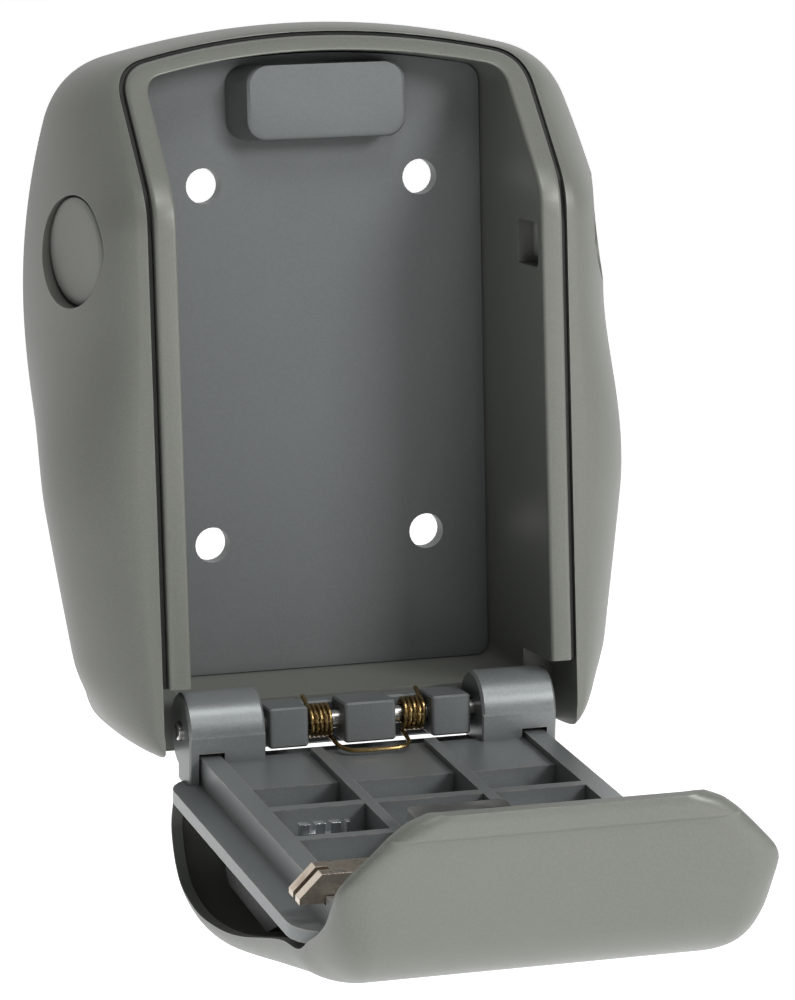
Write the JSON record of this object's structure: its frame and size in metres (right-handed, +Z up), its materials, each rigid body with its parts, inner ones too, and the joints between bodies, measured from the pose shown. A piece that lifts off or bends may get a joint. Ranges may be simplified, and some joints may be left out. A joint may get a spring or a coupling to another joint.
{
  "type": "key lock box",
  "caption": "Wall-mounted key safe with an arched cast case, a drop-down ribbed door on a sprung hinge, code dials, a release lever driving side bolts, and a hinged weather cover.",
  "frame": {"origin": "on the wall plane, the back face of the mounting plate, on the middle line and level with the middle of the case", "axes": "+X to the right seen from the front, +Y into the wall, +Z up"},
  "size_m": [0.1188, 0.1609, 0.1729],
  "materials": {
    "case_paint": "satin grey paint over a cast body",
    "plate_paint": "fine matt blue-grey paint",
    "seal_rubber": "dark matt rubber",
    "door_cast": "bluish silver satin casting with light worn edges",
    "bracket_paint": "blue-grey satin paint",
    "steel": "bright turned steel",
    "spring_wire": "brassy plated spring wire",
    "bolt_metal": "nickel plated with warm wear",
    "slide_metal": "zinc plated sheet",
    "chrome": "bright plating",
    "housing_plastic": "dark grey moulded plastic",
    "dial_plastic": "black satin moulding",
    "shutter_paint": "satin grey paint"
  },
  "bodies": {
    "case": {"case_shell": "case_paint", "mounting_plate": "plate_paint", "strike_block": "bracket_paint", "rim_seal": "seal_rubber", "side_plug_left": "case_paint", "side_plug_right": "case_paint", "hinge_bracket": "bracket_paint", "hinge_pin": "steel", "torsion_spring": "spring_wire"},
    "door": {"door_tray": "door_cast", "dial_housing": "housing_plastic", "dial_spindle": "steel", "housing_screw_left": "steel", "housing_screw_right": "steel", "shutter_pin": "steel", "bolt_spring_left": "steel", "bolt_spring_right": "steel"},
    "release": {"release_lever": "dial_plastic", "slide_stem": "steel", "lock_slide": "slide_metal"},
    "left_bolt": {"bolt_left": "bolt_metal"},
    "right_bolt": {"bolt_right": "bolt_metal"},
    "reset": {"code_reset_lever": "chrome"},
    "cover": {"shutter": "shutter_paint"},
    "dial_1": {"number_dial_1": "dial_plastic"},
    "dial_2": {"number_dial_2": "dial_plastic"},
    "dial_3": {"number_dial_3": "dial_plastic"},
    "dial_4": {"number_dial_4": "dial_plastic"}
  },
  "joints": [
    {"name": "door_hinge", "type": "hinge", "parent": "case", "child": "door", "pos_m": [0, -0.0335, -0.0612], "axis": [-1, 0, 0], "range_deg": [0, 96.2], "stiffness_Nm_per_rad": 0.03, "springref_deg": -14.32, "deforming": ["torsion_spring"]},
    {"name": "cover_hinge", "type": "hinge", "parent": "door", "child": "cover", "pos_m": [0, -0.03475, -0.07743], "axis": [1, 0, 0], "range_deg": [0, 100]},
    {"name": "release_slide", "type": "slide", "parent": "door", "child": "release", "axis": [0, 0.9942, 0.108], "range_m": [0, 0.005], "stiffness_N_per_m": 250, "springref_m": -0.003},
    {"name": "left_bolt_slide", "type": "slide", "parent": "door", "child": "left_bolt", "axis": [1, 0, 0], "range_m": [0, 0.0044], "deforming": ["bolt_spring_left"]},
    {"name": "right_bolt_slide", "type": "slide", "parent": "door", "child": "right_bolt", "axis": [-1, 0, 0], "range_m": [0, 0.0044], "deforming": ["bolt_spring_right"]},
    {"name": "reset_slide", "type": "slide", "parent": "door", "child": "reset", "axis": [1, 0, 0], "range_m": [0, 0.004]},
    {"name": "dial_1_turn", "type": "hinge", "parent": "door", "child": "dial_1", "pos_m": [-0.0159, -0.06717, -0.08457], "axis": [1, 0, 0], "continuous": true},
    {"name": "dial_2_turn", "type": "hinge", "parent": "door", "child": "dial_2", "pos_m": [-0.0053, -0.06717, -0.08457], "axis": [1, 0, 0], "continuous": true},
    {"name": "dial_3_turn", "type": "hinge", "parent": "door", "child": "dial_3", "pos_m": [0.0053, -0.06717, -0.08457], "axis": [1, 0, 0], "continuous": true},
    {"name": "dial_4_turn", "type": "hinge", "parent": "door", "child": "dial_4", "pos_m": [0.0159, -0.06717, -0.08457], "axis": [1, 0, 0], "continuous": true}
  ],
  "couplings": [
    {"joint": "left_bolt_slide", "follows": "release_slide", "ratio": 0.88},
    {"joint": "right_bolt_slide", "follows": "release_slide", "ratio": 0.88}
  ]
}
